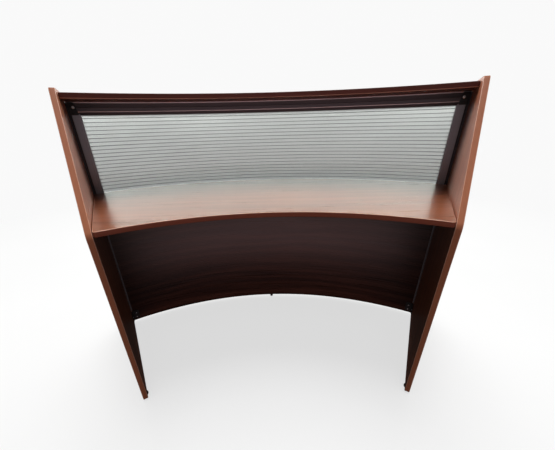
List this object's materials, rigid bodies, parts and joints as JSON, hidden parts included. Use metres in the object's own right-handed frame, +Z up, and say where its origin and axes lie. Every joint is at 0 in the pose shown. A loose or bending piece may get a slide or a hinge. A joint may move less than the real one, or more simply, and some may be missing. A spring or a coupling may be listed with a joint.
{
  "type": "curved reception desk",
  "caption": "Curved reception desk segment with wood end panels, a concave worktop, a framed translucent screen, a modesty panel and a raised counter cap.",
  "frame": {"origin": "on the floor, under the middle of the bounding box", "axes": "+X to the right of the person seated at the desk, +Y from that person towards the visitor, +Z up"},
  "size_m": [1.6762, 0.7419, 1.138],
  "materials": {
    "wood_board": "red-brown wood-grain laminate, satin",
    "wood_edge": "red-brown wood-grain edge band, satin",
    "dark_board": "dark brown wood-grain laminate, satin",
    "frame_aluminium": "dark grey anodised, satin",
    "screen_plastic": "translucent twin-wall sheet, frosted",
    "black_metal": "black, satin",
    "zinc_steel": "zinc plated, dull",
    "screw_steel": "bright zinc plated",
    "glide_nylon": "black moulded nylon"
  },
  "bodies": {
    "desk": {"cap_band_staff": "wood_edge", "cap_band_visitor": "wood_edge", "cap_board": "wood_board", "cap_screw_centre": "screw_steel", "cap_screw_left": "screw_steel", "cap_screw_right": "screw_steel", "cleat_screw_left": "screw_steel", "cleat_screw_right": "screw_steel", "corner_plate_left": "black_metal", "corner_plate_right": "black_metal", "corner_screw_lower_left": "black_metal", "corner_screw_lower_right": "black_metal", "corner_screw_upper_left": "screw_steel", "corner_screw_upper_right": "screw_steel", "end_panel_band_left": "wood_edge", "end_panel_band_right": "wood_edge", "end_panel_left": "wood_board", "end_panel_right": "wood_board", "glide_sleeve_centre": "zinc_steel", "glide_sleeve_front_left": "zinc_steel", "glide_sleeve_front_right": "zinc_steel", "glide_sleeve_rear_left": "zinc_steel", "glide_sleeve_rear_right": "zinc_steel", "joining_rail": "frame_aluminium", "modesty_channel_left": "frame_aluminium", "modesty_channel_right": "frame_aluminium", "modesty_cleat_left": "black_metal", "modesty_cleat_right": "black_metal", "modesty_panel": "dark_board", "modesty_screw_lower_left": "screw_steel", "modesty_screw_lower_right": "screw_steel", "modesty_screw_upper_left": "screw_steel", "modesty_screw_upper_right": "screw_steel", "panel_screw_front_left": "screw_steel", "panel_screw_front_right": "screw_steel", "panel_screw_rear_left": "screw_steel", "panel_screw_rear_right": "screw_steel", "post_left": "frame_aluminium", "post_right": "frame_aluminium", "screen_sheet": "screen_plastic", "top_beam": "frame_aluminium", "worktop": "wood_board", "worktop_band": "wood_edge", "worktop_bracket_front_left": "black_metal", "worktop_bracket_front_right": "black_metal", "worktop_bracket_rear_left": "black_metal", "worktop_bracket_rear_right": "black_metal", "worktop_screw_front_left": "screw_steel", "worktop_screw_front_right": "screw_steel", "worktop_screw_rear_left": "screw_steel", "worktop_screw_rear_right": "screw_steel"},
    "glide_front_left": {"glide_front_left": "glide_nylon"},
    "glide_front_right": {"glide_front_right": "glide_nylon"},
    "glide_rear_left": {"glide_rear_left": "glide_nylon"},
    "glide_rear_right": {"glide_rear_right": "glide_nylon"},
    "glide_centre": {"glide_centre": "glide_nylon"}
  },
  "joints": [
    {"name": "glide_front_left_travel", "type": "slide", "parent": "desk", "child": "glide_front_left", "axis": [0, 0, -1], "range_m": [0, 0.012]},
    {"name": "glide_front_right_travel", "type": "slide", "parent": "desk", "child": "glide_front_right", "axis": [0, 0, -1], "range_m": [0, 0.012]},
    {"name": "glide_rear_left_travel", "type": "slide", "parent": "desk", "child": "glide_rear_left", "axis": [0, 0, -1], "range_m": [0, 0.012]},
    {"name": "glide_rear_right_travel", "type": "slide", "parent": "desk", "child": "glide_rear_right", "axis": [0, 0, -1], "range_m": [0, 0.012]},
    {"name": "glide_centre_travel", "type": "slide", "parent": "desk", "child": "glide_centre", "axis": [0, 0, -1], "range_m": [0, 0.012]}
  ]
}
